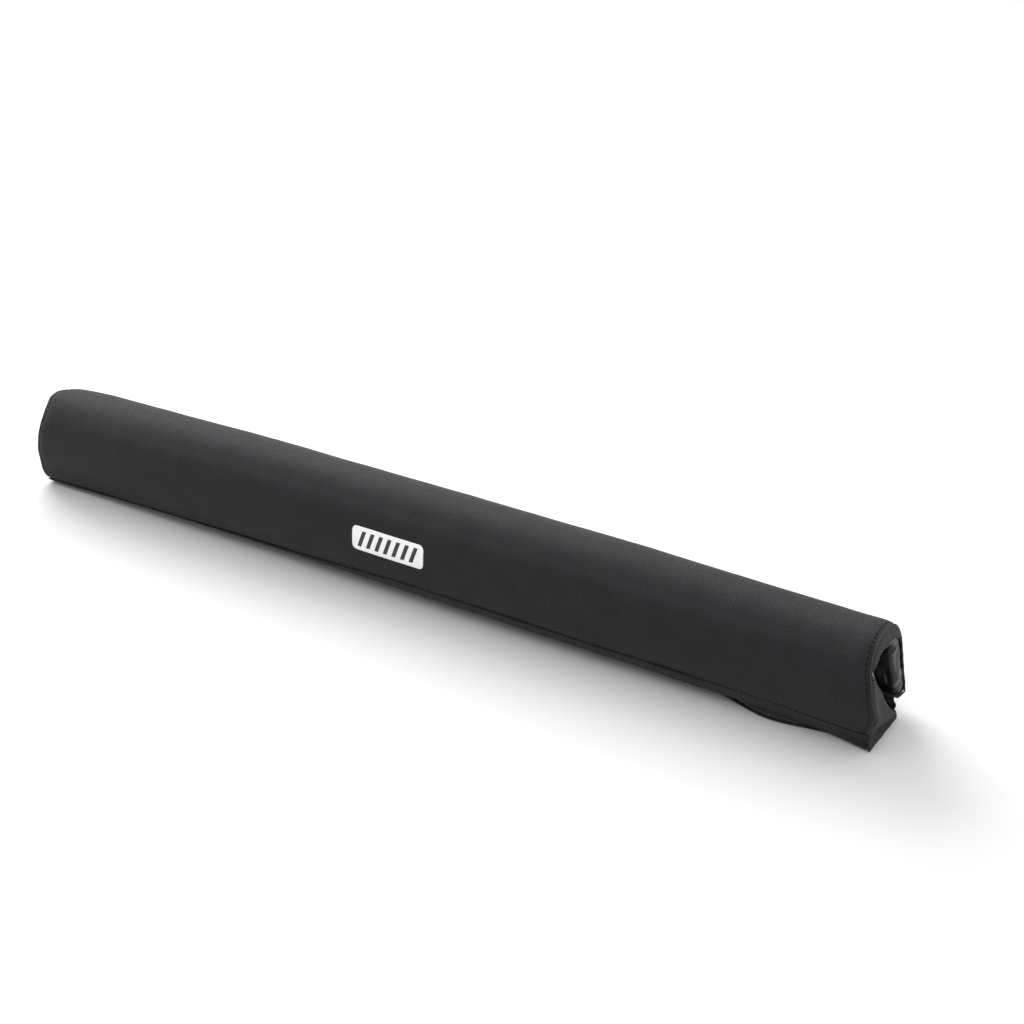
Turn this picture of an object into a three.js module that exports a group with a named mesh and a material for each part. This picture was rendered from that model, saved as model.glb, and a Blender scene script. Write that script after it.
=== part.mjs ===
// Roof rack pad: a padded cloth sleeve that wraps a roof bar and closes below it with hook and loop.
// Millimetres. +X runs along the pad, +Y to its back, +Z up. The closed flaps lie flat at Z = 0.

import * as THREE from "three";

// Sizes of the whole pad
const padLength = 720;
const padHeight = 82;
const sleeveWidth = 67;
const foamThickness = 12.5;
const sectionPower = 2.4;

// Cloth, film and tape thicknesses
const coverThickness = 0.8;
const liningThickness = 0.6;
const endPanelThickness = 0.8;
const flapThickness = 0.7;
const tapeThickness = 1.0;
const filmThickness = 0.3;

// Clearances between pieces that are sewn, glued or pressed together
const layerGap = 0.3;
const edgeGap = 0.6;

// Where the padded sleeve and its front seam are, in degrees round its section from the back
const frontEdgeAngle = 222;
const frontSeamAngle = 209;
const backEdgeAngle = -40;

// The back edge is not pulled in by its flap, so the wall kicks out there
const backFlare = 13;
const backFlareStart = 10;
const backFlareReach = 66;

// The front edge is pressed down on the flaps: its inner side swells and slides past its outer side
const frontPressAngle = 150;
const frontSwell = 2;
const frontSlide = 8;
const endSwell = 7;
const endSlide = 17;

// Towards each end the crown drops, the flaps flatten and the foot leans out past the crown
const endReach = 220;
const endDrop = 3;
const endTuck = 2;
const endLean = 0.13;
const leanReach = 28;

// The stack of flaps and tapes under the pad, flat at its back and curled up at its front
const flatFront = 0;
const endFlatFront = -12;
const curlLength = 8;
const curlRise = 0.8;
const stackCrease = 27;
const frontFlapBack = 18;
const flapInset = 2.5;
const tapeWidth = 20;
const tapeSetback = 2;
const tapeInset = 4;

// The front flap's turn below the front edge: how far back and how high it sits
const chinBack = 3;
const chinRise = 3.2;
const endChinBack = -0.5;
const endChinRise = 2.2;

// Folds of the slack rear flap behind the channel, as back and height, from the top down
const rearFolds = [
  [16, 20.5],
  [16, 17.5],
  [24, 12],
  [24, 9.8],
  [19, 8.2],
  [19, 6.2],
  [27, 3.2],
];
const foldCut = 1.4;
const foldShare = 0.45;

// The printed mark on the front face
const markLength = 63;
const markHeight = 19;
const markCorner = 4;
const markCentreX = -6.5;
const markCentreHeight = 47;

// How finely the round shapes are drawn
const sectionSteps = 26;
const tangentStep = 0.5;
const endSteps = 5;
const creaseSteps = 3;
const markSteps = 6;
const markCornerSteps = 3;

// Values that follow from the sizes above
const halfWidth = sleeveWidth / 2;
const stackLevels = {
  rearFlap: 0,
  hook: flapThickness + layerGap,
  loop: flapThickness + tapeThickness + 2 * layerGap,
  frontFlap: flapThickness + 2 * tapeThickness + 3 * layerGap,
};
const halfHeight = padHeight / 2;
const foamDepth = coverThickness + layerGap;
const liningDepth = foamDepth + foamThickness + layerGap;
const wallDepth = liningDepth + liningThickness;

// Materials
function cloth(color, roughness) {
  return new THREE.MeshStandardMaterial({ color, roughness, metalness: 0 });
}
const coverCloth = cloth(0x2c2c2f, 0.85);
const endCloth = cloth(0x29292b, 0.9);
const liningCloth = cloth(0x17181a, 0.3);
const foam = cloth(0x3a3a3c, 0.95);
const flapCloth = cloth(0x262628, 0.85);
const tape = cloth(0x1d1d1f, 1.0);
const printFilm = cloth(0xefeff2, 0.6);

// How much of the pad's end section is in its section at x
function endShare(x) {
  return THREE.MathUtils.smoothstep(Math.abs(x), padLength / 2 - endReach, padLength / 2);
}

function between(x, middleValue, endValue) {
  return THREE.MathUtils.lerp(middleValue, endValue, endShare(x));
}

// Angle that a distance along the sleeve's wall takes up
function wallAngle(distance) {
  return THREE.MathUtils.radToDeg(distance / halfHeight);
}

// Cosine or sine of a slightly squared ellipse
function squared(share) {
  return Math.sign(share) * Math.abs(share) ** (2 / sectionPower);
}

// Angle on the front of the sleeve at a height
function frontAngleAt(height) {
  const share = (height - halfHeight) / halfHeight;
  const sine = Math.sign(share) * Math.abs(share) ** (sectionPower / 2);
  return 180 - THREE.MathUtils.radToDeg(Math.asin(sine));
}

// The sleeve's outer outline: a squared ellipse whose lower back kicks out, lower and tucked in at the ends
function outlinePoint(x, degrees) {
  const angle = THREE.MathUtils.degToRad(degrees);
  const kick = THREE.MathUtils.smoothstep(backFlareStart - degrees, 0, backFlareReach);
  const drop = between(x, 0, endDrop) * Math.max(Math.sin(angle), 0);
  const tuck = between(x, 0, endTuck) * THREE.MathUtils.smoothstep(degrees, frontPressAngle, frontEdgeAngle);
  return new THREE.Vector2(
    halfWidth * squared(Math.cos(angle)) + backFlare * kick + tuck,
    halfHeight + halfHeight * squared(Math.sin(angle)) - drop,
  );
}

// Direction of travel up the front, over the crown and down the back
function outlineTangent(x, degrees) {
  return outlinePoint(x, degrees - tangentStep).sub(outlinePoint(x, degrees + tangentStep)).normalize();
}

// Point of the sleeve's wall, measured inwards from the cover's outer face
function wallPoint(x, degrees, depth) {
  const tangent = outlineTangent(x, degrees);
  const inward = new THREE.Vector2(tangent.y, -tangent.x);
  const press = THREE.MathUtils.smoothstep(degrees, frontPressAngle, frontEdgeAngle);
  const share = (press * depth) / wallDepth;
  return outlinePoint(x, degrees)
    .addScaledVector(inward, depth + share * between(x, frontSwell, endSwell))
    .addScaledVector(tangent, -share * between(x, frontSlide, endSlide));
}

// Run of points along the wall from its front edge to its back edge, both set in by an angle
function wallRun(x, inset, depth) {
  const angles = Array.from({ length: sectionSteps + 1 }, (_, i) =>
    THREE.MathUtils.lerp(frontEdgeAngle, backEdgeAngle, i / sectionSteps),
  );
  angles[0] -= inset;
  angles[sectionSteps] += inset;
  return angles.map((degrees) => wallPoint(x, degrees, depth));
}

// The two faces of one layer of the wall
function wallLayer(x, inset, outerDepth, innerDepth) {
  return [wallRun(x, inset, outerDepth), wallRun(x, inset, innerDepth)];
}

// The same run with its ends carried on to the wall's inner face, as the cover is turned in there
function turnedRun(x, inset, depth) {
  return [
    wallPoint(x, frontEdgeAngle - inset, wallDepth),
    ...wallRun(x, inset, depth),
    wallPoint(x, backEdgeAngle + inset, wallDepth),
  ];
}

// Path through corners that are each rounded off
function creasedPath(corners) {
  const path = new THREE.Path();
  path.moveTo(corners[0].x, corners[0].y);
  for (let i = 1; i < corners.length - 1; i += 1) {
    const [before, corner, after] = corners.slice(i - 1, i + 2);
    const cutIn = Math.min(foldCut, corner.distanceTo(before) * foldShare);
    const cutOut = Math.min(foldCut, corner.distanceTo(after) * foldShare);
    const start = before.clone().sub(corner).setLength(cutIn).add(corner);
    const end = after.clone().sub(corner).setLength(cutOut).add(corner);
    path.lineTo(start.x, start.y);
    path.quadraticCurveTo(corner.x, corner.y, end.x, end.y);
  }
  const last = corners[corners.length - 1];
  path.lineTo(last.x, last.y);
  return path.getPoints(creaseSteps);
}

// The two faces of a cloth of even thickness about its middle line
function clothFaces(middle, thickness) {
  const sides = middle.map((point, i) => {
    const ahead = middle[Math.min(i + 1, middle.length - 1)];
    const behind = middle[Math.max(i - 1, 0)];
    const along = ahead.clone().sub(behind).normalize();
    return new THREE.Vector2(along.y, -along.x).multiplyScalar(thickness / 2);
  });
  return [
    middle.map((point, i) => point.clone().add(sides[i])),
    middle.map((point, i) => point.clone().sub(sides[i])),
  ];
}

// A section with two long sides, drawn at stations along the pad and closed at both ends
function loft(name, material, stations, sidesAt) {
  const rings = stations.map((x) => closedRing(...sidesAt(x)));
  const count = rings[0].length;
  const points = rings.flatMap((ring, s) => ring.map((point) => leaning(stations[s], point)));
  const indices = [];
  for (let s = 0; s < rings.length - 1; s += 1) {
    for (let i = 0; i < count; i += 1) {
      const here = s * count + i;
      const next = s * count + ((i + 1) % count);
      indices.push(...splitQuad(points, here, next, next + count, here + count));
    }
  }
  const farEnd = (rings.length - 1) * count;
  for (let i = 0; i < count / 2 - 1; i += 1) {
    const [a, b, c, d] = [i, i + 1, count - 2 - i, count - 1 - i];
    indices.push(a, c, b, a, d, c);
    indices.push(farEnd + a, farEnd + b, farEnd + c, farEnd + a, farEnd + c, farEnd + d);
  }
  const geometry = new THREE.BufferGeometry();
  geometry.setFromPoints(points);
  geometry.setIndex(indices);
  geometry.computeVertexNormals();
  const mesh = new THREE.Mesh(geometry, material);
  mesh.name = name;
  return mesh;
}

// Two triangles of a quad, split along its shorter diagonal so that layers split alike
function splitQuad(points, a, b, c, d) {
  const shorter = points[a].distanceTo(points[c]) < points[b].distanceTo(points[d]);
  return shorter ? [a, b, c, a, c, d] : [a, b, d, b, c, d];
}

// Ring out along one side and back along the other, turning the same way on every piece
function closedRing(sideA, sideB) {
  const ring = [...sideA, ...sideB.slice().reverse()];
  return THREE.ShapeUtils.isClockWise(ring) ? ring.reverse() : ring;
}

// Place in space of a section's point, with the lean of the pad's ends
function leaning(x, point) {
  const below = Math.min(halfHeight - point.y, leanReach);
  return new THREE.Vector3(x + Math.sign(x) * endLean * endShare(x) * below, point.x, point.y);
}

// Stations along the pad, closer together where its section changes towards the ends
function stationsOver(halfLength) {
  const half = Array.from({ length: endSteps + 1 }, (_, i) =>
    THREE.MathUtils.lerp(padLength / 2 - endReach, halfLength, i / endSteps),
  );
  return [...half.map((x) => -x).reverse(), ...half];
}
const wallStations = stationsOver(padLength / 2 - endPanelThickness - layerGap);
const flapStations = stationsOver(padLength / 2 - flapInset);
const tapeStations = stationsOver(padLength / 2 - tapeInset);

// Woven cover: the outer skin, turned in over both long edges of the foam
function outerCover() {
  const turn = wallAngle(coverThickness);
  return loft("outer_cover", coverCloth, wallStations, (x) => [
    turnedRun(x, 0, 0),
    turnedRun(x, turn, coverThickness),
  ]);
}

// Foam slab bent round the bar's channel
function foamCore() {
  const inset = wallAngle(coverThickness + edgeGap);
  return loft("foam_core", foam, wallStations, (x) =>
    wallLayer(x, inset, foamDepth, foamDepth + foamThickness),
  );
}

// Coated lining on the inside of the channel
function innerLining() {
  const inset = wallAngle(coverThickness + edgeGap);
  return loft("inner_lining", liningCloth, wallStations, (x) =>
    wallLayer(x, inset, liningDepth, wallDepth),
  );
}

// Ribbed cloth panels that close the padded wall at its two ends
function endPanel(name, outerX) {
  const innerX = outerX - Math.sign(outerX) * endPanelThickness;
  const stations = [innerX, outerX].sort((a, b) => a - b);
  return loft(name, endCloth, stations, (x) => wallLayer(x, 0, 0, wallDepth));
}

// Height of the curled front end of the flap stack above its flat part
function curl(x, y) {
  const beyond = Math.max(between(x, flatFront, endFlatFront) - y, 0);
  return curlRise * (beyond / curlLength) ** 2;
}

// Flat run of one layer of the stack, from its curled front end to the back
function stackRun(x, level, thickness, frontY, backY) {
  const flatStart = between(x, flatFront, endFlatFront);
  const halfway = (frontY + flatStart) / 2;
  return [frontY, halfway, flatStart, backY].map(
    (y) => new THREE.Vector2(y, level + thickness / 2 + curl(x, y)),
  );
}

function stackFront(x) {
  return between(x, flatFront, endFlatFront) - curlLength;
}

// Seat of the rear flap on the turned-in back edge of the sleeve, a gap below the edge
function backEdgeSeat(x, depth) {
  return wallPoint(x, backEdgeAngle, depth)
    .addScaledVector(outlineTangent(x, backEdgeAngle), layerGap + flapThickness);
}

// Front flap: lapped on the cover down to its front edge, turned under the pad, carries the loop tape
function frontFlap() {
  const lift = layerGap + flapThickness / 2;
  return loft("front_flap", flapCloth, flapStations, (x) => {
    const lap = wallPoint(x, frontSeamAngle, -lift);
    const middle = wallPoint(x, (frontSeamAngle + frontEdgeAngle) / 2, -lift);
    const brow = wallPoint(x, frontEdgeAngle, -lift);
    const run = stackRun(x, stackLevels.frontFlap, flapThickness, stackFront(x), frontFlapBack);
    const chin = new THREE.Vector2(
      brow.x + between(x, chinBack, endChinBack),
      run[0].y + between(x, chinRise, endChinRise),
    );
    return clothFaces(creasedPath([lap, middle, brow, chin, ...run]), flapThickness);
  });
}

// Rear flap: lies on the back edge, crumples inwards and passes under the whole stack
function rearFlap() {
  return loft("rear_flap", flapCloth, flapStations, (x) => {
    const root = backEdgeSeat(x, flapThickness);
    const inner = backEdgeSeat(x, wallDepth);
    const run = stackRun(x, stackLevels.rearFlap, flapThickness, stackFront(x), stackCrease);
    const folds = rearFolds.map(([back, height]) => new THREE.Vector2(back, height));
    return clothFaces(creasedPath([root, inner, ...folds, ...run.reverse()]), flapThickness);
  });
}

// Hook and loop tapes between the two flaps
function closureTape(name, level) {
  return loft(name, tape, tapeStations, (x) => {
    const frontY = stackFront(x) + tapeSetback;
    const run = stackRun(x, level, tapeThickness, frontY, frontY + tapeWidth);
    return clothFaces(run, tapeThickness);
  });
}

// Printed mark: a thin film with rounded corners on the front of the cover
function printedMark() {
  const turns = Array.from({ length: markCornerSteps + 1 }, (_, i) => (i / markCornerSteps) * (Math.PI / 2));
  const half = turns.map((turn) => markLength / 2 - markCorner * (1 - Math.sin(turn)));
  const stations = [...half.map((x) => -x).reverse(), ...half].map((x) => x + markCentreX);
  return loft("printed_mark", printFilm, stations, (x) => {
    const intoCorner = Math.max(Math.abs(x - markCentreX) - markLength / 2 + markCorner, 0);
    const cut = markCorner - Math.sqrt(Math.max(markCorner ** 2 - intoCorner ** 2, 0));
    const reach = markHeight / 2 - cut;
    const angles = Array.from({ length: markSteps + 1 }, (_, i) =>
      frontAngleAt(markCentreHeight + THREE.MathUtils.lerp(-reach, reach, i / markSteps)),
    );
    return [layerGap + filmThickness, layerGap].map((lift) =>
      angles.map((degrees) => wallPoint(x, degrees, -lift)),
    );
  });
}

const pad = new THREE.Group();
pad.add(
  outerCover(),
  foamCore(),
  innerLining(),
  endPanel("end_panel_left", -padLength / 2),
  endPanel("end_panel_right", padLength / 2),
  frontFlap(),
  rearFlap(),
  closureTape("loop_tape", stackLevels.loop),
  closureTape("hook_tape", stackLevels.hook),
  printedMark(),
);

// The origin is under the middle of the pad's box, on the face that it stands on
const middle = new THREE.Box3().setFromObject(pad).getCenter(new THREE.Vector3());
pad.position.set(-middle.x, -middle.y, 0);

export default pad;
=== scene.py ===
import math

import bpy
import numpy as np
from mathutils import Matrix, Vector, noise
from mathutils.bvhtree import BVHTree


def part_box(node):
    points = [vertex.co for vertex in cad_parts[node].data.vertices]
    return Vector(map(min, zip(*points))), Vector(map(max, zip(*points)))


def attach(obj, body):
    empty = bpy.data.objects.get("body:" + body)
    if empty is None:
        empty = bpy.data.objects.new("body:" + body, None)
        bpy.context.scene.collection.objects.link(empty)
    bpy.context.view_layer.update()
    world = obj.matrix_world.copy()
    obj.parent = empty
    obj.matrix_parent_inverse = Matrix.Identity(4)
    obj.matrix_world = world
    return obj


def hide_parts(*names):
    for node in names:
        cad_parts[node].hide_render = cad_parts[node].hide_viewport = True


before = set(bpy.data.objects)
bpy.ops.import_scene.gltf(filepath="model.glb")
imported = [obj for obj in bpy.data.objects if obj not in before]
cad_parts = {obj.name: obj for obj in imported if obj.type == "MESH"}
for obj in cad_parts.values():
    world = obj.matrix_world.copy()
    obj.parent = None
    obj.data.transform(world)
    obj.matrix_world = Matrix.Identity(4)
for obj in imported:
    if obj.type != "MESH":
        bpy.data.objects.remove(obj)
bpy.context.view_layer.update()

# Foam core
# A slab of closed-cell foam bent round the channel for the roof bar. It fills the whole wall between
# the cover and the lining, and its inner corners are pressed round where the end panels pull over them.
pad_length = 0.720
pad_height = 0.082
sleeve_width = 0.067
section_power = 2.4
tangent_step = 0.5
foam_thickness = 0.0125
cover_thickness = 0.0008
lining_thickness = 0.0006
layer_gap = 0.0003
edge_gap = 0.0006
half_length = pad_length / 2
half_width = sleeve_width / 2
half_height = pad_height / 2
foam_depth = cover_thickness + layer_gap
lining_depth = foam_depth + foam_thickness + layer_gap
wall_depth = lining_depth + lining_thickness
front_edge = 222
front_seam = 209
back_edge = -40
back_flare = 0.013
back_flare_start = 10
back_flare_reach = 66
front_press = 150
front_swell = 0.002
front_slide = 0.008
end_swell = 0.007
end_slide = 0.017
end_reach = 0.220
end_drop = 0.003
end_tuck = 0.002
end_lean = 0.13
lean_reach = 0.028
cover_end = half_length - 0.0009
left_roll = 0.0022
left_roll_reach = 0.011
right_roll = 0.0016
right_roll_reach = 0.009
corner_roll = 0.0022
corner_angle = 193
corner_spread = 9
roll_share = 0.95
roll_fade = 0.6
roll_fade_from = 185
roll_fade_full = 215
# Angle round the section, and how deep the ribbed panel reaches over the wall's end there
panel_edge = (
    (-40, 0.0036), (20, 0.0036), (40, 0.0085), (65, 0.0115), (86, 0.0132),
    (111, 0.0098), (132, 0.0094), (143, 0.0070), (150, 0.0036), (154, 0.0036),
    (159, 0.0075), (175, 0.0180), (184, 0.0240), (192, 0.0260), (222, 0.0260),
)
# Angle round the section, and how far the rim stands out past the pad's nominal end there
left_push = (
    (30, 0.0000), (60, 0.0015), (80, 0.0040), (92, 0.0075), (108, 0.0060),
    (126, 0.0020), (145, 0.0005), (160, 0.0010), (190, 0.0045), (220, 0.0010),
)
right_push = (
    (60, 0.0000), (84, -0.0008), (150, -0.0008), (166, 0.0006), (180, 0.0012),
    (192, 0.0020), (201, 0.0000), (209, -0.0028), (222, -0.0036),
)
push_reach = 0.045
# Place across the pad, and the height of the front flap's turned-in hem there
gusset_top = (
    (-0.0264, 0.0150), (-0.0210, 0.0145), (-0.0140, 0.0130), (0.0000, 0.0092), (0.0220, 0.0046),
)
gusset_tuck = 0.0045
panel_tip = 0.0165
left_hang = 0.0080
hang_end = -0.120
even_hang = 0.0005
hang_from = 190
hang_full = 219
hang_curve = 1.3
left_sink = 0.0034
sink_angle = 58
sink_spread = 24
seam_climb_start = -0.130
seam_climb_end = 0.020
foam_shrink = 0.0006
foam_voxel = 0.004
foam_cap = 0.0016
foam_setback = 0.0030
deep_from = 0.008
deep_setback = 0.0035
rim_round = 0.0015
rim_round_reach = 0.0025
inner_round = 0.0035
panel_lap = 0.001
end_stand = 0.0005
fold_stand = 0.0006
foam_cells = 1400
foam_colour = (0.020, 0.020, 0.021, 1)

section_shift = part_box("outer_cover")[0].y + half_width


def smoothstep(value, low, high):
    share = np.clip((value - low) / (high - low), 0, 1)
    return share * share * (3 - 2 * share)


def bell(distance, width):
    return np.exp(-((distance / width) ** 2))


def unit(vectors):
    """The vectors at length 1."""
    return vectors / np.maximum(np.linalg.norm(vectors, axis=-1, keepdims=True), 1e-12)


def from_table(rows, places):
    """Values of a table at some places, with straight lines between its rows."""
    return np.interp(places, *zip(*rows))


def end_share(x):
    return smoothstep(abs(x), half_length - end_reach, half_length)


def between(x, middle, end):
    return middle + (end - middle) * end_share(x)


def squared(share):
    return np.sign(share) * np.abs(share) ** (2 / section_power)


def crown_sink(x, degrees):
    """How far the crown dips towards the pad's left end."""
    near_left = np.clip((push_reach - half_length - x) / push_reach, 0, 1) ** 2
    return left_sink * near_left * bell(degrees - sink_angle, sink_spread)


def outline(x, degrees):
    """Outer outline of the sleeve's section, in the plane of the section."""
    angle = np.radians(degrees)
    kick = smoothstep(back_flare_start - degrees, 0, back_flare_reach)
    drop = between(x, 0, end_drop) * np.maximum(np.sin(angle), 0)
    tuck = between(x, 0, end_tuck) * smoothstep(degrees, front_press, front_edge)
    across = half_width * squared(np.cos(angle)) + back_flare * kick + tuck
    up = half_height + half_height * squared(np.sin(angle)) - drop - crown_sink(x, degrees)
    return np.stack([across, up], -1)


def outline_tangent(x, degrees):
    return unit(outline(x, degrees - tangent_step) - outline(x, degrees + tangent_step))


def wall(x, degrees, depth):
    """Point of the padded wall, measured inwards from the cover's outer face."""
    degrees, depth = np.broadcast_arrays(np.asarray(degrees, float), np.asarray(depth, float))
    tangent = outline_tangent(x, degrees)
    inward = np.stack([tangent[..., 1], -tangent[..., 0]], -1)
    share = smoothstep(degrees, front_press, front_edge) * depth / wall_depth
    push = (depth + share * between(x, front_swell, end_swell))[..., None] * inward
    slide = (share * between(x, front_slide, end_slide))[..., None] * tangent
    to_left = np.clip((hang_end - x) / (half_length + hang_end), 0, 1) ** hang_curve
    hang = (even_hang + left_hang * to_left) * smoothstep(degrees, hang_from, hang_full)
    hang = hang * np.clip(1 - depth / wall_depth, 0, 1)
    return outline(x, degrees) + push - slide - hang[..., None] * (0, 1)


def in_space(along, section):
    """A section's points in space, at their places along the pad."""
    return np.stack([along, section[..., 0] + section_shift, section[..., 1]], -1)


def place(x, section):
    """Points in space of a section's points, with the lean of the pad's ends."""
    below = np.minimum(half_height - section[..., 1], lean_reach)
    return in_space(x + np.sign(x) * end_lean * end_share(x) * below, section)


def end_roll(x, degrees):
    """How far the cloth dips as it rolls over the foam's end."""
    right = np.asarray(x) > 0
    reach = np.where(right, right_roll_reach, left_roll_reach)
    fade = 1 - roll_fade * smoothstep(degrees, roll_fade_from, roll_fade_full)
    corner = corner_roll * bell(degrees - corner_angle, corner_spread)
    dip = np.where(right, right_roll * fade + corner, left_roll * fade)
    share = np.clip((np.abs(x) - cover_end + reach) / reach, 0, 1)
    return dip * (1 - np.sqrt(1 - (roll_share * share) ** 2)) / (1 - math.sqrt(1 - roll_share ** 2))


def end_push(side, degrees):
    """How far the pad's rim stands out past its nominal end, or falls short of it."""
    return from_table(left_push if side < 0 else right_push, degrees)


def stretch(x, degrees):
    """Shift along the pad of a point near its ends."""
    side = -1 if x < 0 else 1
    return side * end_push(side, degrees) * smoothstep(abs(x), half_length - push_reach, half_length)


def above_gusset(section):
    """Height of a section's points over the turned-in end of the front flap."""
    return section[..., 1] - from_table(gusset_top, section[..., 0])


panel_angle_steps = np.linspace(back_edge, front_edge, 263)
panel_depth_steps = np.linspace(0.001, 0.027, 131)
panel_reaches = []
for step in panel_angle_steps:
    wanted = from_table(panel_edge, step)
    section = wall(half_length, step, panel_depth_steps)
    standing = ((above_gusset(section) > -0.0005) & (section[:, 0] < panel_tip)) | (step < 180)
    deepest = panel_depth_steps[standing].max() if standing.any() else wall_depth
    panel_reaches.append(min(wanted, deepest))


def panel_reach(degrees):
    """How deep into the wall's end the ribbed panel reaches before the lining takes over."""
    return np.interp(degrees, panel_angle_steps, panel_reaches)


def end_face(side, degrees, depth):
    """How far the pad's end stands past its nominal end, over the wall's depth."""
    sunk = depth - end_roll(side * cover_end, degrees)
    outer_roll = rim_round * (1 - smoothstep(sunk, 0, rim_round_reach))
    start = panel_reach(degrees) - panel_lap
    share = np.clip((depth - start) / np.maximum(wall_depth + 0.002 - start, 0.004), 0, 1)
    fold = smoothstep(degrees, 180, 205)
    return end_stand + fold_stand * fold - outer_roll - inner_round * share ** 2


def end_point(side, degrees, depth, out):
    """Point in space on the pad's end, a distance out from the plane of its nominal end."""
    section = wall(side * half_length, degrees, depth)
    below = np.minimum(half_height - section[..., 1], lean_reach)
    inside = smoothstep(depth, 0.003, 0.014) if side > 0 else 0
    tucked = gusset_tuck * (1 - smoothstep(above_gusset(section), -0.001, 0.004))
    push = end_push(side, degrees) * (1 - inside) - tucked * inside
    return in_space(side * (half_length + end_lean * below + push + out), section)


def deselect():
    if bpy.context.object and bpy.context.object.mode != "OBJECT":
        bpy.ops.object.mode_set(mode="OBJECT")
    bpy.ops.object.select_all(action="DESELECT")


def work_on(piece):
    deselect()
    piece.select_set(True)
    bpy.context.view_layer.objects.active = piece


def adjust(thing, settings):
    for name, value in settings.items():
        setattr(thing, name, value)


def apply_modifier(piece, kind, **settings):
    work_on(piece)
    modifier = piece.modifiers.new(kind.title(), kind)
    adjust(modifier, settings)
    bpy.ops.object.modifier_apply(modifier=modifier.name)


def coordinates(piece):
    flat = np.empty(len(piece.data.vertices) * 3)
    piece.data.vertices.foreach_get("co", flat)
    return flat.reshape(-1, 3)


def set_coordinates(piece, points):
    piece.data.vertices.foreach_set("co", np.asarray(points, float).ravel())
    piece.data.update()


def run_cloth(piece, frames, cap, pin=None, **settings):
    """Runs a cloth simulation without gravity, caps how far points move, and keeps its shape."""
    work_on(piece)
    start = coordinates(piece)
    cloth = piece.modifiers.new("Cloth", "CLOTH")
    adjust(cloth.settings, settings)
    cloth.settings.effector_weights.gravity = 0
    if pin:
        cloth.settings.vertex_group_mass = pin
    cloth.point_cache.frame_start = 1
    cloth.point_cache.frame_end = frames
    for number in range(1, frames + 1):
        bpy.context.scene.frame_set(number)
    bpy.ops.object.modifier_apply(modifier=cloth.name)
    moved = coordinates(piece) - start
    reach = np.linalg.norm(moved, axis=1, keepdims=True)
    moved *= np.minimum(1, cap / np.maximum(reach, 1e-9))
    set_coordinates(piece, start + moved)
    bpy.context.scene.frame_set(1)


def material(name, colour, roughness, **shader):
    """Material with its even values set on the shader's own sockets."""
    made = bpy.data.materials.new(name)
    made.use_nodes = True
    principled = made.node_tree.nodes["Principled BSDF"]
    principled.inputs["Base Color"].default_value = colour
    principled.inputs["Roughness"].default_value = roughness
    for socket, value in shader.items():
        principled.inputs[socket.replace("_", " ")].default_value = value
    return made


def add_node(tree, kind, sockets=(), **settings):
    """A shader node with its settings, and its sockets linked to others or set to even values."""
    node = tree.nodes.new("ShaderNode" + kind)
    adjust(node, settings)
    for name, value in dict(sockets).items():
        if isinstance(value, bpy.types.NodeSocket):
            tree.links.new(value, node.inputs[name])
        else:
            node.inputs[name].default_value = value
    return node


def into_shader(made, socket, source):
    made.node_tree.links.new(source, made.node_tree.nodes["Principled BSDF"].inputs[socket])


def bump_by(made, height, distance, strength=1):
    """Raises a material's surface by a height, in its shading only."""
    sockets = {"Height": height, "Distance": distance, "Strength": strength}
    into_shader(made, "Normal", add_node(made.node_tree, "Bump", sockets).outputs["Normal"])


def roughen(made, texture, height, distance, strength=1, on_uv=False, **sockets):
    """Bumps a material by one texture, on its UV map or in the piece's own space."""
    kind, output = ("UVMap", "UV") if on_uv else ("TexCoord", "Object")
    place_of = add_node(made.node_tree, kind).outputs[output]
    node = add_node(made.node_tree, texture, {"Vector": place_of, **sockets})
    bump_by(made, node.outputs[height], distance, strength)
    return node


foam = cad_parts["foam_core"].copy()
foam.data = foam.data.copy()
for key in list(foam.keys()):
    del foam[key]
foam.name = "foam_pad"
bpy.context.collection.objects.link(foam)
foam.hide_render = False
foam.hide_viewport = False
world_place = foam.matrix_world.copy()
foam.parent = None
foam.matrix_world = Matrix.Identity(4)
foam.data.transform(world_place)
work_on(foam)
bpy.ops.object.mode_set(mode="EDIT")
bpy.ops.mesh.select_all(action="SELECT")
bpy.ops.mesh.remove_doubles(threshold=0.00001)
bpy.ops.transform.shrink_fatten(value=-foam_shrink)
bpy.ops.object.mode_set(mode="OBJECT")
apply_modifier(foam, "REMESH", mode="VOXEL", voxel_size=foam_voxel)
run_cloth(foam, 20, foam_cap, use_pressure=True, uniform_pressure_force=4)
apply_modifier(foam, "SUBSURF", levels=1, render_levels=1)

# The foam's ends are pressed in so that they stay under the end panels
grid_angles = np.linspace(back_edge, front_edge, 132)
grid_depths = np.linspace(0, wall_depth, 16)
end_angles, end_depths = np.meshgrid(grid_angles, grid_depths, indexing="ij")
points = coordinates(foam)
for side in (-1, 1):
    section = wall(side * half_length, end_angles, end_depths)
    section = section + (section_shift, 0)
    near_end = np.flatnonzero(side * points[:, 0] > half_length - push_reach)
    spread = np.linalg.norm(points[near_end, None, 1:] - section.reshape(-1, 2)[None], axis=2)
    closest = spread.argmin(axis=1)
    at_angle, at_depth = end_angles.ravel()[closest], end_depths.ravel()[closest]
    near_share = smoothstep(np.abs(points[near_end, 0]), half_length - push_reach, half_length)
    points[near_end, 2] -= crown_sink(points[near_end, 0], at_angle)
    points[near_end, 0] += side * end_push(side, at_angle) * near_share
    below = np.minimum(half_height - points[near_end, 2], lean_reach)
    stand = end_face(side, at_angle, at_depth) + end_push(side, at_angle) - foam_setback
    stand = np.where(at_depth > deep_from, np.minimum(stand, -deep_setback), stand)
    limit = half_length + end_lean * below + stand
    points[near_end, 0] = side * np.minimum(side * points[near_end, 0], limit)
set_coordinates(foam, points)
work_on(foam)
bpy.ops.object.shade_smooth()

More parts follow.
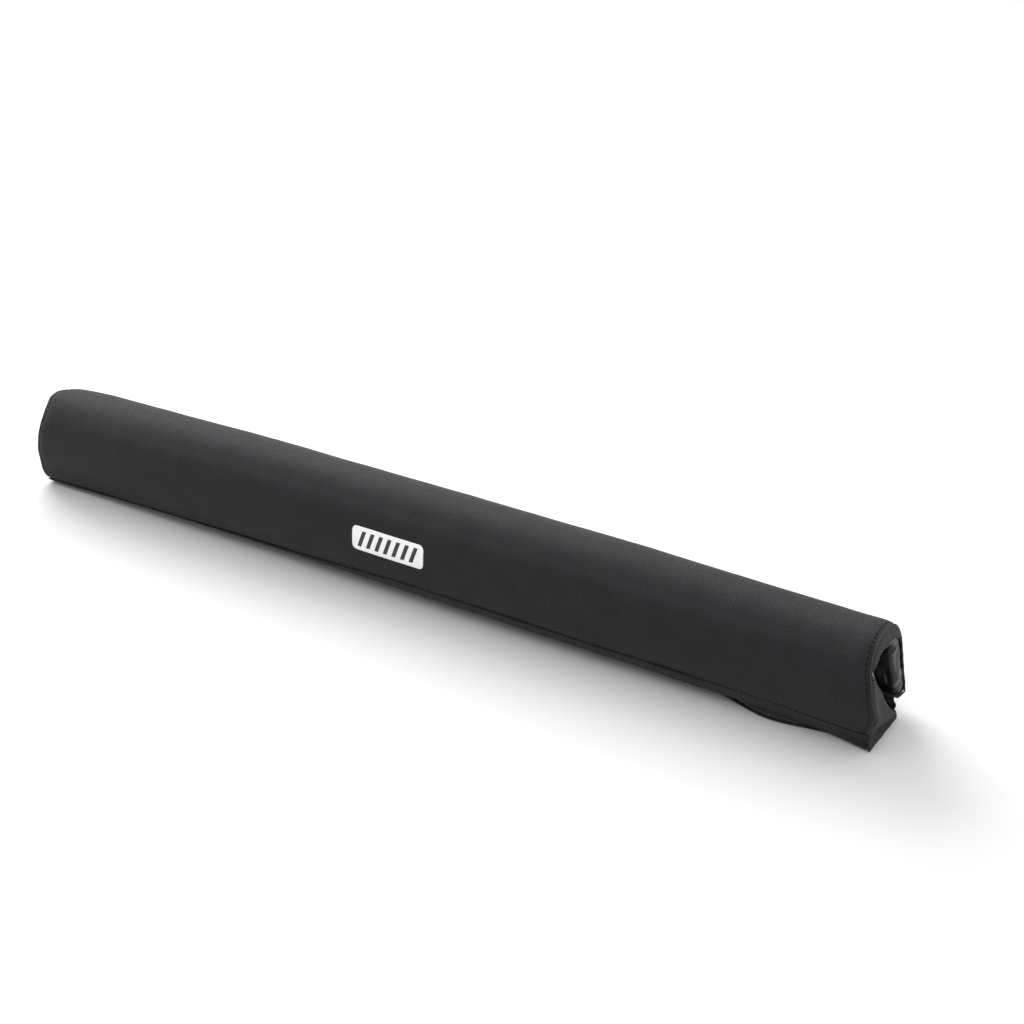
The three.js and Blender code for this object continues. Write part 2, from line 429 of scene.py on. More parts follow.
foam_look = material("foam", foam_colour, 0.95)
roughen(foam_look, "TexVoronoi", "Distance", 0.0002, 0.4, Scale=foam_cells)
foam.data.materials.clear()
foam.data.materials.append(foam_look)
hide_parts("foam_core")
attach(foam, "root")

# Woven cover
# One piece of black plain-woven polyester, cut flat, wrapped over the foam and turned in at both long
# edges. It follows the foam's swells, and dips along the rows of stitches at its ends and front seam.
cover_columns = 280
cover_rows = 124
seam_low = 220.5
seam_end = 216
seam_scale = math.radians(half_height)
seam_fall = 0.09
turned_in = 0.0035
stitch_inset = 0.0024
cover_colour = (0.0202, 0.0199, 0.0230, 1)
cloth_roughness = 0.88
cloth_shine = {"Specular_IOR_Level": 0.22, "Sheen_Weight": 0.07, "Sheen_Roughness": 0.4}
weave_pitch = 0.00090
thread_relief = 0.0003
lint_colour = (0.09, 0.09, 0.09, 1)
cast_from = 0.004
cast_reach = 0.009
missed_gap = 0.0012
cover_gap = 0.0008
most_sink = 0.0006
most_lift = 0.0012


def run_along(line, measured):
    """Distance along a line to each of its points."""
    steps = np.linalg.norm(np.diff(line[:, :measured], axis=0), axis=1)
    return np.concatenate([[0], np.cumsum(steps)])


def taken_at(line, run, places):
    return np.stack([np.interp(places, run, line[:, k]) for k in range(line.shape[1])], 1)


def rounded(line, radius, measured=2):
    """The line with its corners rounded."""
    run = run_along(line, measured)
    spacing = 0.0005
    dense = taken_at(line, run, np.linspace(0, run[-1], int(run[-1] / spacing) + 1))
    half = int(radius / spacing)
    kernel = np.hanning(2 * half + 3)[1:-1]
    kernel /= kernel.sum()
    head = 2 * dense[0] - dense[half:0:-1]
    tail = 2 * dense[-1] - dense[-2:-half - 2:-1]
    longer = np.concatenate([head, dense, tail])
    return np.stack([np.convolve(longer[:, k], kernel, "valid") for k in range(line.shape[1])], 1)


def resampled(line, count, measured=2, closer=()):
    """The line at a count of points, closer together about some places, with the way to each."""
    run = run_along(line, measured)
    fine = np.linspace(0, run[-1], 3000)
    weight = np.ones(len(fine))
    for centre, reach, gain in closer:
        weight += gain * bell(fine - centre, reach)
    share = np.concatenate([[0], np.cumsum((weight[1:] + weight[:-1]) / 2)])
    even = np.interp(np.linspace(0, share[-1], count), share, fine)
    return taken_at(line, run, even), even


def cloth_grid(name, rows, lengths):
    """A grid of cloth through rows of points, its UVs in metres along the cloth."""
    columns, across = rows.shape[:2]
    deselect()
    bpy.ops.mesh.primitive_grid_add(x_subdivisions=across - 1, y_subdivisions=columns - 1, size=1)
    cloth = bpy.context.object
    cloth.name = name
    set_coordinates(cloth, rows.reshape(-1, 3))
    corners = np.empty(len(cloth.data.loops), int)
    cloth.data.loops.foreach_get("vertex_index", corners)
    uvs = lengths.reshape(-1, 2)[corners]
    cloth.data.uv_layers[0].data.foreach_set("uv", uvs.ravel())
    bpy.ops.object.shade_smooth()
    return cloth


def side_normals(rows):
    """Normals of a grid of points."""
    return unit(np.cross(np.gradient(rows, axis=0), np.gradient(rows, axis=1)))


def ripple(x, y, size, seed):
    """Smooth seeded noise over a cloth, from about -1 to 1."""
    flat = [noise.noise(Vector((a / size, b / size, seed))) for a, b in zip(np.ravel(x), np.ravel(y))]
    return np.array(flat).reshape(np.shape(x))


def spread_stations(half, count):
    """Stations along the pad, closer together at its ends."""
    share = np.linspace(-1, 1, count)
    return half * (1.1 * share - 0.1 * share ** 9)


def seam_degrees(x):
    """Angle of the front seam: under the pad at its left, up on its front from the mark on."""
    climbed = seam_low + (front_seam - seam_low) * smoothstep(x, seam_climb_start, seam_climb_end)
    return climbed + (seam_end - front_seam) * smoothstep(x, half_length - seam_fall, half_length)


def cover_line(x):
    """Middle line of the cover across the pad, with the angle of each of its points."""
    inset = math.degrees(cover_thickness / 2 / half_height)
    middle = cover_thickness / 2
    angles = np.linspace(front_edge - inset, back_edge + inset, 240)
    turn = np.linspace(wall_depth, middle, 24)
    parts = [
        np.column_stack([wall(x, angles[0], turn), np.full(24, angles[0])])[:-1],
        np.column_stack([wall(x, angles, middle), angles]),
        np.column_stack([wall(x, angles[-1], turn[::-1]), np.full(24, angles[-1])])[1:],
    ]
    return rounded(np.concatenate(parts), turned_in)


cover_points = []
cover_lengths = []
cover_degrees = []
for x in spread_stations(cover_end, cover_columns):
    line = cover_line(x)
    seam_run = np.interp(-seam_degrees(x), -line[:, 2], run_along(line, 2))
    line, even = resampled(line, cover_rows, closer=[(seam_run, 0.004, 3.5)])
    cover_points.append(place(x, line[:, :2]) + stretch(x, line[:, 2])[:, None] * (1, 0, 0))
    cover_degrees.append(line[:, 2])
    cover_lengths.append(np.stack([np.full(cover_rows, x), even], 1))
cover_points, cover_lengths, cover_degrees = map(np.array, (cover_points, cover_lengths, cover_degrees))
normals = side_normals(cover_points)
if normals[cover_columns // 2, cover_rows // 2, 2] < 0:
    normals = -normals


def face_tree(piece):
    """Search tree over a piece's faces."""
    mesh = piece.data
    return BVHTree.FromPolygons([v.co for v in mesh.vertices], [tuple(p.vertices) for p in mesh.polygons])


# The cover lies on the foam's swells
foam_tree = face_tree(foam)
lift = np.zeros(cover_points.shape[:2])
for i, j in np.ndindex(lift.shape):
    point, normal = Vector(cover_points[i, j]), Vector(normals[i, j])
    hit = foam_tree.ray_cast(point + normal * cast_from, -normal, cast_reach)
    gap = missed_gap if hit[0] is None else (point - hit[0]).dot(normal)
    lift[i, j] = np.clip(cover_gap - gap, -most_sink, most_lift)


def blurred(field, passes):
    for _ in range(passes):
        edged = np.pad(field, 1, mode="edge")
        beside = edged[:-2, 1:-1] + edged[2:, 1:-1] + edged[1:-1, :-2] + edged[1:-1, 2:]
        field = (beside + 4 * field) / 8
    return field


lift = blurred(lift, 6)
across_x = cover_lengths[..., 0]
across_s = cover_lengths[..., 1]
to_end = cover_end - np.abs(across_x)
above_seam = (seam_degrees(across_x) - cover_degrees) * seam_scale
broad = 0.0005 * ripple(across_x, across_s, 0.075, 3.1) + 0.0002 * ripple(across_x, across_s, 0.022, 7.7)
stitch_dip = -0.0003 * bell(to_end - stitch_inset, 0.0009)
hem_groove = -0.0004 * bell(to_end - 0.0011, 0.0006)
end_pucker = 0.0003 * ripple(across_s, across_x * 0.2, 0.0042, 1.3) * np.exp(-to_end / 0.007)
seam_swell = 0.0009 * bell(above_seam, 0.011) * (above_seam > 0)
seam_dip = -0.0004 * bell(above_seam - 0.0001, 0.0005)
seam_pucker = 0.00022 * ripple(across_x, across_s * 0.3, 0.0045, 4.2) * np.exp(-np.abs(above_seam) / 0.004)
lift = lift + broad + stitch_dip + hem_groove + end_pucker + seam_swell + seam_dip + seam_pucker
lift = lift - end_roll(across_x, cover_degrees)
cover_points = cover_points + normals * lift[..., None]

cover = cloth_grid("woven_cover", cover_points, cover_lengths)
apply_modifier(cover, "SOLIDIFY", thickness=cover_thickness, offset=0)


def maths(tree, operation, *values):
    """Result of a maths node that is fed with sockets or even values."""
    return add_node(tree, "Math", dict(enumerate(values)), operation=operation).outputs[0]


def round_threads(tree, passed):
    """Round backs of threads that lie side by side, from how many of them have passed."""
    return maths(tree, "ABSOLUTE", maths(tree, "SINE", maths(tree, "MULTIPLY", passed, math.pi)))


def pattern_group(name):
    """Group for a cloth's pattern, from UVs in metres to its height and the painted shade of its gaps and
    threads.
    """
    group = bpy.data.node_groups.new(name, "ShaderNodeTree")
    for socket, way, kind in (
        ("Vector", "INPUT", "Vector"),
        ("Per Metre", "INPUT", "Float"),
        ("Height", "OUTPUT", "Float"),
        ("Shade", "OUTPUT", "Float"),
    ):
        group.interface.new_socket(socket, in_out=way, socket_type="NodeSocket" + kind)
    return group, group.nodes.new("NodeGroupInput"), group.nodes.new("NodeGroupOutput")


def weave_group():
    """Plain weave: warp and weft take turns on top; painted shade darkens the cloth where they dive, and a
    painted sheen lights warp-over cells more than weft-over ones.
    """
    group, entry, leave = pattern_group("plain weave")
    spaced = {0: entry.outputs["Vector"], "Scale": entry.outputs["Per Metre"]}
    scaled = add_node(group, "VectorMath", spaced, operation="SCALE")
    split = add_node(group, "SeparateXYZ", {0: scaled.outputs[0]})
    warp, weft = split.outputs[0], split.outputs[1]
    crossing = maths(group, "ADD", maths(group, "FLOOR", warp), maths(group, "FLOOR", weft))
    checker = maths(group, "MODULO", maths(group, "ABSOLUTE", crossing), 2.0)
    round_warp = round_threads(group, warp)
    round_weft = round_threads(group, weft)
    over = maths(group, "MULTIPLY", round_warp, maths(group, "MULTIPLY_ADD", round_weft, 0.45, 0.55))
    under = maths(group, "MULTIPLY", round_weft, maths(group, "MULTIPLY_ADD", round_warp, 0.45, 0.45))
    chosen = add_node(group, "Mix", {"Factor": checker, "A": over, "B": under}, data_type="FLOAT")
    height = chosen.outputs["Result"]
    # Painted sheen: cells with the warp on top are drawn lighter than cells with the weft on top.
    painted_warp_sheen = maths(group, "MULTIPLY_ADD", checker, -1.10, 1.58)
    # Painted shade: the threads are drawn darker where they dive into the gaps.
    with_painted_shade = maths(group, "MULTIPLY", painted_warp_sheen, maths(group, "MULTIPLY_ADD", height, 0.75, 0.4))
    group.links.new(height, leave.inputs["Height"])
    group.links.new(with_painted_shade, leave.inputs["Shade"])
    return group


plain_weave = weave_group()


def woven_look(name, colour, pattern, density, relief, **shader):
    """Cloth of a pattern: thread bump, the pattern's painted shade and sheen, a little random tone
    variation and a few lint specks.
    """
    made = material(name, colour, cloth_roughness, **shader)
    tree = made.node_tree
    uv = add_node(tree, "UVMap").outputs["UV"]
    weave = add_node(tree, "Group", node_tree=pattern)
    weave.inputs["Per Metre"].default_value = density
    tree.links.new(uv, weave.inputs["Vector"])
    cloud = add_node(tree, "TexNoise", {"Vector": uv, "Scale": 45, "Detail": 5})
    tone = add_node(tree, "ValToRGB", {"Fac": cloud.outputs["Fac"]})
    for stop, position, gain in zip(tone.color_ramp.elements, (0.3, 0.7), (0.88, 1.12)):
        stop.position = position
        stop.color = [gain * c for c in colour[:3]] + [1]
    # The base colour is multiplied by the pattern's painted shade and sheen.
    painted_shade_sockets = {"Factor": 1, "A": tone.outputs["Color"], "B": weave.outputs["Shade"]}
    with_painted_shade = add_node(tree, "Mix", painted_shade_sockets, data_type="RGBA", blend_type="MULTIPLY")
    specks = add_node(tree, "TexVoronoi", {"Vector": uv, "Scale": 70})
    rare = maths(tree, "LESS_THAN", specks.outputs["Distance"], 0.022)
    linty = {"Factor": rare, "A": with_painted_shade.outputs["Result"], "B": lint_colour}
    lint = add_node(tree, "Mix", linty, data_type="RGBA")
    into_shader(made, "Base Color", lint.outputs["Result"])
    bump_by(made, weave.outputs["Height"], relief)
    return made


cover_look = woven_look(
    "cover cloth", cover_colour, plain_weave, 1 / weave_pitch, thread_relief, **cloth_shine,
)
cover.data.materials.append(cover_look)
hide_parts("outer_cover")
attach(cover, "root")

# Lining
# Thin coated cloth glued on the inside of the channel. It is cut a little too wide, so that it lies
# in long shiny wrinkles.
lining_columns = 190
lining_rows = 84
lining_tuck = 0.0022
lining_under = 0.0019
lining_fine = 0.035
lining_growth = 0.06
lining_cap = 0.0045
lining_edge_share = 0.25
billow_depth = 0.022
billow_reach = 0.009
billow_angle = 62
billow_spread = 34
billow_out = 0.0045
lining_colour = (0.010, 0.0108, 0.0105, 1)

inset = math.degrees((cover_thickness + edge_gap) / half_height)
lining_points = []
lining_lengths = []
lining_angles = np.linspace(front_edge - inset, back_edge + inset, lining_rows)
across_run = run_along(wall(0, lining_angles, lining_depth), 2)
for k, degrees in enumerate(lining_angles):
    channel_x = np.linspace(-half_length + 0.005, half_length - 0.005, 240)
    channel = np.array([place(x, wall(x, degrees, lining_depth + lining_thickness / 2)) for x in channel_x])
    edge = min(float(panel_reach(degrees)) - lining_tuck, lining_depth - 0.0005)
    depths = np.linspace(edge, lining_depth, 12)
    ends = [
        end_point(side, np.full(12, degrees), depths, end_face(side, degrees, depths) - lining_under)
        for side in (-1, 1)
    ]
    line = rounded(np.concatenate([ends[0], channel, ends[1][::-1]]), 0.0020, measured=3)
    length = run_along(line, 3)[-1]
    at_ends = [(0, lining_fine, 6), (length, lining_fine, 6)]
    line, even = resampled(line, lining_columns, measured=3, closer=at_ends)
    lining_points.append(line)
    lining_lengths.append(np.stack([even, np.full(lining_columns, across_run[k])], 1))
lining_points, lining_lengths = np.array(lining_points), np.array(lining_lengths)
inner_normals = side_normals(lining_points)
if inner_normals[lining_rows // 2, lining_columns // 2, 2] > 0:
    inner_normals = -inner_normals
lining_along, lining_across = lining_lengths[..., 0], lining_lengths[..., 1]
from_edge = np.minimum(lining_along, lining_along.max(axis=1, keepdims=True) - lining_along)
billow_at = bell(from_edge - billow_depth, billow_reach)
billow_at = billow_at * bell(lining_angles[:, None] - billow_angle, billow_spread)
stir_up = 0.0005 + 0.0027 * bell(from_edge, 0.034) * smoothstep(from_edge, 0.001, 0.006)
crumple = ripple(lining_along, lining_across, 0.012, 9.4)
crumple += 0.6 * ripple(lining_along + 0.7 * lining_across, lining_across, 0.006, 3.7)
stir = stir_up * crumple + billow_out * billow_at
lining = cloth_grid("channel_lining", lining_points + inner_normals * stir[..., None], lining_lengths)
held = lining.vertex_groups.new(name="sewn edges")
grid = np.arange(lining_rows * lining_columns).reshape(lining_rows, lining_columns)
held.add(np.setdiff1d(grid, grid[1:-1, 1:-1]).tolist(), 1.0, "REPLACE")
run_cloth(
    lining, 24, lining_cap, pin="sewn edges", shrink_min=-lining_growth,
    bending_stiffness=0.4, quality=6,
)
lining.vertex_groups.clear()
moved = coordinates(lining).reshape(lining_points.shape) - lining_points
moved *= (lining_edge_share + (1 - lining_edge_share) * smoothstep(from_edge, 0.003, 0.016))[..., None]
inwards = (moved * inner_normals).sum(-1)
moved += inner_normals * (np.abs(inwards) - inwards)[..., None]
set_coordinates(lining, (lining_points + moved).reshape(-1, 3))
apply_modifier(lining, "SOLIDIFY", thickness=lining_thickness, offset=0)

lining_look = material("coated lining", lining_colour, 0.3, Specular_IOR_Level=0.4)
fine = roughen(lining_look, "TexNoise", "Fac", 0.0006, 0.5, on_uv=True, Scale=220, Detail=6)
gloss = {"Value": fine.outputs["Fac"], "To Min": 0.24, "To Max": 0.44}
into_shader(lining_look, "Roughness", add_node(lining_look.node_tree, "MapRange", gloss).outputs["Result"])
lining.data.materials.append(lining_look)
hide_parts("inner_lining")
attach(lining, "root")

# End panels
# Strips of ribbed cloth sewn to the cover's ends. Each is pulled over the foam's end into the channel,
# where its spare length gathers in short radial folds.
panel_angles = 240
panel_steps = 24
panel_thickness = 0.0008
panel_colour = (0.0220, 0.0219, 0.0228, 1)
rib_pitch = 0.0020
rib_relief = 0.0005


def ribs_group():
    """Fine ribs across a strip, with painted shade between them."""
    group, entry, leave = pattern_group("cross ribs")
    split = add_node(group, "SeparateXYZ", {0: entry.outputs["Vector"]})
    ribs = round_threads(group, maths(group, "MULTIPLY", split.outputs[0], entry.outputs["Per Metre"]))
    group.links.new(ribs, leave.inputs["Height"])
    # Painted shade: the cloth is drawn darker between the ribs.
    group.links.new(maths(group, "MULTIPLY_ADD", ribs, 0.95, 0.42), leave.inputs["Shade"])
    return group


def panel_gathers(side, degrees, depth):
    """Height of the gathers at the inner edge of an end panel."""
    reach = smoothstep(depth / panel_reach(degrees), 0.3, 1)
    seed = 5.0 if side > 0 else 8.0
    return 0.0008 * reach * ripple(degrees * 0.0006, depth * 0.35, 0.0052, seed)


panel_look = woven_look(
    "ribbed cloth", panel_colour, ribs_group(), 1 / rib_pitch, rib_relief,
    Specular_IOR_Level=0.25, Sheen_Weight=0.08, Sheen_Roughness=0.4,
)
for side, word in ((-1, "left"), (1, "right")):
    rows = []
    lengths = []
    angles = np.linspace(front_edge - 0.6, back_edge + 0.6, panel_angles)
    round_run = run_along(wall(side * half_length, angles, 0.004), 2)
    for k, degrees in enumerate(angles):
        reach = panel_reach(degrees)
        roll = float(end_roll(side * cover_end, degrees))
        over = np.linspace(roll + 0.0004, reach, 18)
        out = end_face(side, degrees, over) + panel_gathers(side, np.full(18, degrees), over)
        depths = np.concatenate([over, np.full(6, reach + 0.0003)])
        outs = np.concatenate([out, out[-1] - np.linspace(0.0002, 0.0009, 6)])
        line = rounded(end_point(side, np.full(24, degrees), depths, outs), 0.0010, measured=3)
        line, even = resampled(line, panel_steps, measured=3)
        rows.append(line)
        lengths.append(np.stack([np.full(panel_steps, round_run[k]), even], 1))
    panel_rows = np.array(rows)
    panel = cloth_grid("end_panel_" + word + "_cloth", panel_rows, np.array(lengths))
    apply_modifier(panel, "SOLIDIFY", thickness=panel_thickness, offset=0)
    panel.data.materials.append(panel_look)
    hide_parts("end_panel_" + word)
    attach(panel, "root")

# Hem ridges and end stitches
# The cover and each end panel are sewn together in a rolled hem, a thin round ridge of the cover's
# cloth. A row of black thread stitches runs beside it on the cover.
hem_radius = 0.00062
hem_out = 0.0005
# The hem ridge is set lighter than the cover's cloth: a painted highlight along the ridge.
hem_highlight_colour = (0.034, 0.034, 0.037, 1)
hem_sides = 8
stitch_length = 0.0024
stitch_pitch = 0.0040
stitch_radius = 0.00036
stitch_seat = 0.00005
turn_step = 0.0005
thread_colour = (0.004, 0.004, 0.004, 1)

# Painted highlight: the ridge's material is a lighter copy of the cover's cloth colour.
hem_highlight_look = material("hem edge painted highlight", hem_highlight_colour, 0.85, Specular_IOR_Level=0.3)
thread_look = material("thread", thread_colour, 0.9, Specular_IOR_Level=0.1)
roughen(thread_look, "TexWave", "Fac", 0.0001, Scale=900)

deselect()
bpy.ops.mesh.primitive_uv_sphere_add(segments=6, ring_count=5, radius=1)
stitch_model = bpy.context.object
stitch_model.name = "one_stitch"
stitch_faces = [tuple(p.vertices) for p in stitch_model.data.polygons]
stitch_points = coordinates(stitch_model)
bpy.data.objects.remove(stitch_model)


def mesh_piece(name, points, faces):
    """A smooth piece of points and faces, with its faces turned outwards."""
    mesh = bpy.data.meshes.new(name)
    mesh.from_pydata([tuple(p) for p in points], [], faces)
    piece = bpy.data.objects.new(name, mesh)
    bpy.context.collection.objects.link(piece)
    work_on(piece)
    bpy.ops.object.mode_set(mode="EDIT")
    bpy.ops.mesh.select_all(action="SELECT")
    bpy.ops.mesh.normals_make_consistent(inside=False)
    bpy.ops.object.mode_set(mode="OBJECT")
    bpy.ops.object.shade_smooth()
    return piece


def stitch_row(name, path, normals, length, pitch, look):
    """Stitches of one small form along a path, each sunk by half in the cloth."""
    line, run = resampled(path, len(path) * 2, measured=3)
    points = []
    faces = []
    for k in range(int(run[-1] / pitch)):
        at = (k + 0.5) * pitch
        here, ahead, behind = taken_at(line, run, (at, at + turn_step, at - turn_step))
        forward = unit(ahead - behind)
        share = at / run[-1] * (len(normals) - 1)
        sideways = unit(np.cross(forward, normals[int(share)]))
        up = np.cross(sideways, forward)
        local = stitch_points * (stitch_radius, stitch_radius, length / 2)
        base = len(points)
        points.extend(here + local[:, :1] * sideways + local[:, 1:2] * up + local[:, 2:] * forward)
        faces.extend(tuple(base + v for v in face) for face in stitch_faces)
    row = mesh_piece(name, points, faces)
    row.data.materials.append(look)
    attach(row, "root")
    return row


def tube(name, path, radius, sides):
    """Closed round tube along a path."""
    line, run = resampled(path, len(path), measured=3)
    forward = unit(np.gradient(line, axis=0))
    up = unit(np.cross(forward, (1, 0, 0)))
    sideways = np.cross(forward, up)
    turns = np.linspace(0, 2 * np.pi, sides, endpoint=False)
    rings = (
        line[:, None] + radius * (np.cos(turns)[None, :, None] * up[:, None]
        + np.sin(turns)[None, :, None] * sideways[:, None])
    )
    faces = []
    for i in range(len(line) - 1):
        for k in range(sides):
            a, b = i * sides + k, i * sides + (k + 1) % sides
            faces.append((a, b, b + sides, a + sides))
    faces.append(tuple(range(sides)))
    faces.append(tuple((len(line) - 1) * sides + k for k in range(sides)))
    made = mesh_piece(name, rings.reshape(-1, 3), faces)
    layer = made.data.uv_layers.new(name="UVMap")
    for loop in made.data.loops:
        ring, around = divmod(loop.vertex_index, sides)
        layer.data[loop.index].uv = (run[ring], around * radius * 2 * math.pi / sides)
    return made


cover_tree = face_tree(cover)


def on_cover(points, normals, lift_by):
    """Points moved along their normals onto the cover's outer face."""
    seated = []
    for point, normal in zip(points, normals):
        hit = cover_tree.ray_cast(Vector(point) + Vector(normal) * 0.006, -Vector(normal), 0.012)
        seated.append(point if hit[0] is None else np.array(hit[0]) + normal * lift_by)
    return np.array(seated)


for side, word in ((-1, "left"), (1, "right")):
    column = -1 if side > 0 else 0
    outside = (cover_degrees[column] < front_edge - 1.5) & (cover_degrees[column] > back_edge + 1.5)
    ridge = cover_points[column][outside] + (side * hem_out, 0, 0)
    hem = tube("hem_ridge_" + word, ridge, hem_radius, hem_sides)
    hem.data.materials.append(hem_highlight_look)
    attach(hem, "root")
    x_row = side * (cover_end - stitch_inset)
    angles = np.linspace(seam_degrees(x_row) - 1, back_edge + 2, 260)
    row = place(x_row, wall(x_row, angles, 0)) + stretch(x_row, angles)[:, None] * (1, 0, 0)
    outward = unit(np.cross(np.gradient(row, axis=0), (1, 0, 0)))
    if outward[np.argmax(row[:, 2]), 2] < 0:
        outward = -outward
    seated = on_cover(row, outward, stitch_seat)
    stitch_row("end_stitches_" + word, seated, outward, stitch_length, stitch_pitch, thread_look)

# Front flap
# Woven cloth sewn along the front seam, lapped down the sleeve's front edge, turned under the pad and
# laid on the stack of tapes. It carries the loop tape on its underside.
flap_thickness = 0.0007
flap_columns = 240
end_skew = 0.0030
back_skew = 0.0008
left_draw = 0.0075
draw_lead = 0.03
skew_back = 0.022
corner_out = 0.0042
corner_reach = 0.034
flat_front = 0.0
end_flat_front = -0.012
curl_length = 0.008
curl_rise = 0.0008
tape_thickness = 0.001
front_flap_back = 0.018
chin_back = 0.002
chin_height = 0.0085
end_chin_height = 0.0075
fold_height = 0.0014
fold_back = 0.0062
gusset_foot = (-0.0243, 0.0008)
gusset_columns = 40
gusset_out = 0.0008
gusset_lean = 0.22
gusset_swell = 0.0006
rear_level = 0.0
hook_level = flap_thickness + layer_gap
loop_level = flap_thickness + tape_thickness + 2 * layer_gap
front_level = flap_thickness + 2 * tape_thickness + 3 * layer_gap
flap_colour = (0.0190, 0.0187, 0.0214, 1)


def stack_front(x):
    """Front end of the stack, further out at the pad's right end and drawn in at its left part."""
    corner = corner_out * smoothstep(x, half_length - corner_reach, half_length)
    drawn = left_draw * (1 - smoothstep(x, seam_climb_start - draw_lead, seam_climb_end))
    return between(x, flat_front, end_flat_front) - curl_length - corner + drawn


def stack_run(x, level, thickness, front, back):
    """Run of one layer of the stack, from its curled front end to the back."""
    flat_start = between(x, flat_front, end_flat_front)
    across = np.linspace(front, back, 24)
    beyond = np.maximum(flat_start - across, 0)
    return np.stack([across, level + thickness / 2 + curl_rise * (beyond / curl_length) ** 2], 1)


def front_flap_line(x):
    raise_by = layer_gap + flap_thickness / 2
    angles = np.linspace(seam_degrees(x), front_edge, 12)
    lap = wall(x, angles, end_roll(x, angles) - raise_by)
    front = stack_front(x)
    run = stack_run(x, front_level, flap_thickness, front + fold_back, front_flap_back)
    fold = np.array([
        (lap[-1, 0] + chin_back, min(between(x, chin_height, end_chin_height), lap[-1, 1] - 0.0004)),
        (front - 0.0004, fold_height + 0.0006),
        (front + 0.0020, fold_height),
    ])
    return rounded(np.concatenate([lap, fold, run]), 0.0020)


def skewed(x, across):
    """How far the flaps and tapes fall short of the pad's right end, most at their front."""
    front_share = 1 - smoothstep(across, stack_front(half_length), skew_back)
    short = back_skew + (end_skew - back_skew) * front_share
    return short * smoothstep(x, half_length - push_reach, half_length)


def strip(name, half, columns, across, line_at, thickness, ripples=None, end=None):
    """A strip of cloth along the pad, through the lines at its stations."""
    rows = []
    lengths = []
    for x in spread_stations(half, columns):
        line, even = resampled(line_at(x), across)
        rows.append(place(x, line) - skewed(x, line[:, 0])[:, None] * (1, 0, 0))
        lengths.append(np.stack([np.full(across, x), even], 1))
    rows, lengths = np.array(rows), np.array(lengths)
    if ripples is not None:
        rows = rows + side_normals(rows) * ripples(lengths[..., 0], lengths[..., 1])[..., None]
    cloth = cloth_grid(name, rows, lengths)
    if end:
        work_on(cloth)
        end.select_set(True)
        bpy.ops.object.join()
    apply_modifier(cloth, "SOLIDIFY", thickness=thickness, offset=0)
    return cloth


def front_flap_ripples(along, across):
    """Small puckers below the seam, gone where the flap lies flat in the stack."""
    loose = smoothstep(across, 0, 0.002) * (1 - smoothstep(across, 0.014, 0.022))
    fine_puckers = 0.00025 * ripple(along, across * 0.4, 0.007, 2.6)
    broad_puckers = 0.0004 * ripple(along, across * 0.6, 0.03, 6.1)
    return loose * (fine_puckers + broad_puckers)


flap_look = woven_look(
    "flap cloth", flap_colour, plain_weave, 1 / weave_pitch, thread_relief, **cloth_shine,
)

# At the right end the flap's hem is turned in, and stands up in front of the stack's end
gusset_rows = []
gusset_lengths = []
foot_y, foot_z = gusset_foot
front_y, back_y = gusset_top[0][0], gusset_top[-1][0]
for share in np.linspace(0, 1, gusset_columns):
    low = (foot_y + share * (back_y - foot_y), foot_z)
    high_y = front_y + share * (back_y - front_y)
    high = (high_y, from_table(gusset_top, high_y))
    section = np.linspace(low, high, 16)
    edge = half_length + end_lean * lean_reach - skewed(half_length, section[:, 0]) + gusset_out
    swell = gusset_swell * ripple(section[:, 0], section[:, 1], 0.011, 2.2)
    lean_in = gusset_lean * (section[:, 1] - foot_z)
    gusset_rows.append(in_space(edge + swell - lean_in, section))
    gusset_lengths.append(section)
gusset = cloth_grid("gusset", np.array(gusset_rows), np.array(gusset_lengths))
front_flap = strip(
    "front_flap_cloth", half_length, flap_columns, 60, front_flap_line, flap_thickness,
    front_flap_ripples, end=gusset,
)
front_flap.data.materials.append(flap_look)
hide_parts("front_flap")
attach(front_flap, "root")

# Topstitch of the front seam
# A row of stitches on the cover, just above the edge where the front flap is sewn on.
seam_pitch = 0.0035
seam_stitch = 0.0026
seam_lift = 3.0
seam_thread_colour = (0.0135, 0.0133, 0.0145, 1)


def facing_out(x, degrees):
    """Outward directions of the wall at some angles round it."""
    tangent = outline_tangent(x, degrees)
    return np.stack([np.zeros(len(tangent)), -tangent[:, 1], tangent[:, 0]], 1)


stations = np.linspace(-half_length + 0.006, half_length - 0.006, 500)
seam_angles = seam_degrees(stations) - seam_lift
seam_normal = facing_out(stations, seam_angles)
seated = on_cover(place(stations, wall(stations, seam_angles, 0)), seam_normal, stitch_seat)
seam_thread_look = material("seam thread", seam_thread_colour, 0.9, Specular_IOR_Level=0.1)
stitch_row("seam_stitches", seated, seam_normal, seam_stitch, seam_pitch, seam_thread_look)

# Rear flap
# A slack strip of the same cloth, sewn to the back edge of the sleeve. It crumples inwards behind the
# channel and passes under the whole stack to the front, where it bulges out in one place.
stack_crease = 0.027
end_stack_crease = 0.0230
end_folds_in = 0.0034
rear_folds = (
    (0.016, 0.0205), (0.016, 0.0175), (0.024, 0.0120), (0.024, 0.0098),
    (0.019, 0.0082), (0.019, 0.0062), (0.027, 0.0032),
)
fold_reach = 0.05
bulge_middle = 0.287
bulge_reach = 0.047
bulge_out = 0.0085
rear_setback = 0.0012


def back_edge_seat(x, depth):
    return wall(x, back_edge, depth) + outline_tangent(x, back_edge) * (layer_gap + flap_thickness)


def bulged(x, run):
    """The run with its front drawn out where the closure bulges."""
    bulge = bulge_out * smoothstep(bulge_reach - abs(x - bulge_middle), 0, bulge_reach)
    reach = smoothstep(-run[:, 0], -0.004, -stack_front(x) - rear_setback)
    return run - np.stack([bulge * reach, np.zeros(len(run))], 1)


